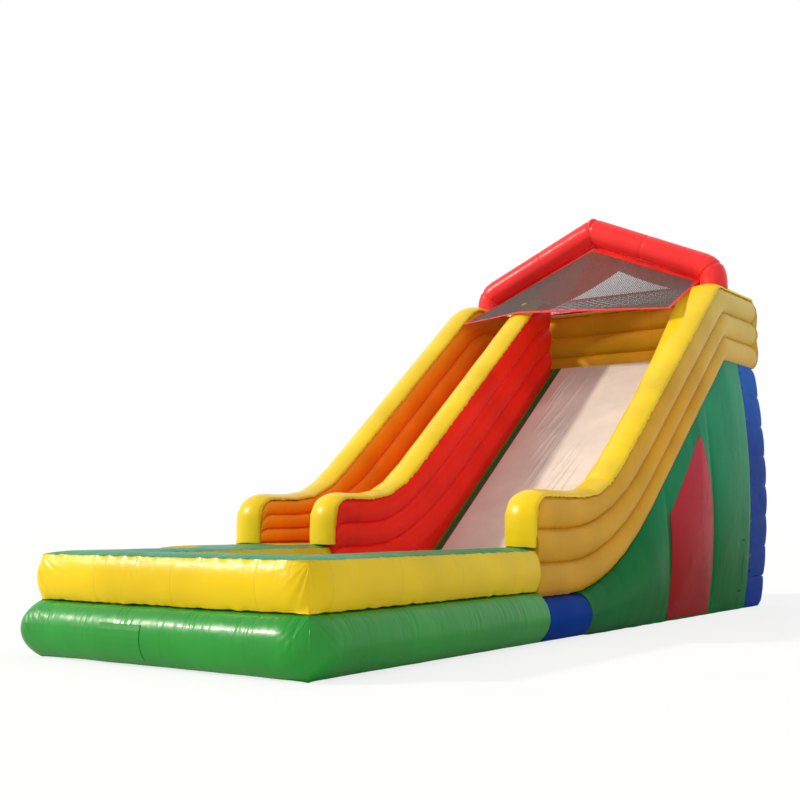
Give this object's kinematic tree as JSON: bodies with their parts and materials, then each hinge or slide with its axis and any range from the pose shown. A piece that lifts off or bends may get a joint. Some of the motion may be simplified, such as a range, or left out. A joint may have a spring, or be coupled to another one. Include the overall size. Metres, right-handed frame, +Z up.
{
  "type": "inflatable water slide",
  "caption": "Free-standing inflatable water slide with a splash pool, a climbing lane beside the slide lane, a platform and a gable arch with nets and a roof sheet.",
  "frame": {"origin": "centre of the whole slide's ground outline, inlet sleeve included, on the ground", "axes": "+Z up; +Y from the pool towards the rear wall, along the slide; +X to the right as seen from the pool"},
  "size_m": [5.408, 13.3734, 7.1219],
  "materials": {
    "green_tarpaulin": "glossy coated tarpaulin",
    "yellow_tarpaulin": "glossy coated tarpaulin",
    "orange_tarpaulin": "glossy coated tarpaulin",
    "red_tarpaulin": "glossy coated tarpaulin",
    "blue_tarpaulin": "glossy coated tarpaulin",
    "teal_tarpaulin": "glossy coated tarpaulin",
    "pale_sheet": "smooth coated sheet",
    "net_mesh": "knotted mesh",
    "zip_tape": "woven tape with moulded teeth",
    "zip_slider": "moulded slider"
  },
  "bodies": {
    "slide_body": {"pool_lower_front": "green_tarpaulin", "pool_lower_right": "green_tarpaulin", "pool_lower_left": "green_tarpaulin", "entry_lower": "green_tarpaulin", "side_right": "green_tarpaulin", "side_left": "green_tarpaulin", "platform_deck": "green_tarpaulin", "front_flap_hem": "green_tarpaulin", "pool_upper_front": "yellow_tarpaulin", "pool_upper_right": "yellow_tarpaulin", "pool_upper_left": "yellow_tarpaulin", "entry_upper": "yellow_tarpaulin", "wall_right": "yellow_tarpaulin", "rim_right": "yellow_tarpaulin", "rim_left": "yellow_tarpaulin", "rim_divider": "yellow_tarpaulin", "rim_back": "yellow_tarpaulin", "climb_ramp": "yellow_tarpaulin", "wall_left": "orange_tarpaulin", "wall_back": "orange_tarpaulin", "divider": "red_tarpaulin", "fin_right": "red_tarpaulin", "fin_left": "red_tarpaulin", "arch_right": "red_tarpaulin", "arch_left": "red_tarpaulin", "roof_sheet": "red_tarpaulin", "front_net_binding": "red_tarpaulin", "rear_net_binding": "red_tarpaulin", "band_right": "blue_tarpaulin", "band_left": "blue_tarpaulin", "rear_wall": "blue_tarpaulin", "inlet_row": "blue_tarpaulin", "pool_floor": "blue_tarpaulin", "entry_step_low": "blue_tarpaulin", "entry_step_high": "blue_tarpaulin", "inlet_sleeve": "blue_tarpaulin", "climb_bar_1": "blue_tarpaulin", "climb_bar_2": "blue_tarpaulin", "climb_bar_3": "blue_tarpaulin", "climb_bar_4": "blue_tarpaulin", "climb_bar_5": "blue_tarpaulin", "climb_bar_6": "blue_tarpaulin", "climb_bar_7": "blue_tarpaulin", "climb_bar_8": "blue_tarpaulin", "slide_bed": "teal_tarpaulin", "platform_base": "teal_tarpaulin", "slide_edge_left": "teal_tarpaulin", "slide_edge_right": "teal_tarpaulin", "slide_cover": "pale_sheet", "front_net": "net_mesh", "rear_net": "net_mesh", "front_zip_chain": "zip_tape", "side_zip_chain": "zip_tape", "inlet_strap": "zip_tape"},
    "front_flap_body": {"front_flap": "green_tarpaulin"},
    "front_slider_body": {"front_zip_slider": "zip_slider"},
    "side_flap_body": {"side_flap": "green_tarpaulin"},
    "side_slider_body": {"side_zip_slider": "zip_slider"}
  },
  "joints": [
    {"name": "front_flap_hinge", "type": "hinge", "parent": "slide_body", "child": "front_flap_body", "pos_m": [0.1, -6.68048, 0.38089], "axis": [-1, 0, 0], "range_deg": [0, 150]},
    {"name": "front_zip_run", "type": "slide", "parent": "slide_body", "child": "front_slider_body", "axis": [1, 0, 0], "range_m": [0, 0.494]},
    {"name": "side_flap_hinge", "type": "hinge", "parent": "slide_body", "child": "side_flap_body", "pos_m": [2.5784, 4.8167, 0.74], "axis": [-0.1179, 0, -0.993], "range_deg": [0, 90]},
    {"name": "side_zip_run", "type": "slide", "parent": "slide_body", "child": "side_slider_body", "axis": [-0.1179, 0, -0.993], "range_m": [0, 0.77]}
  ]
}
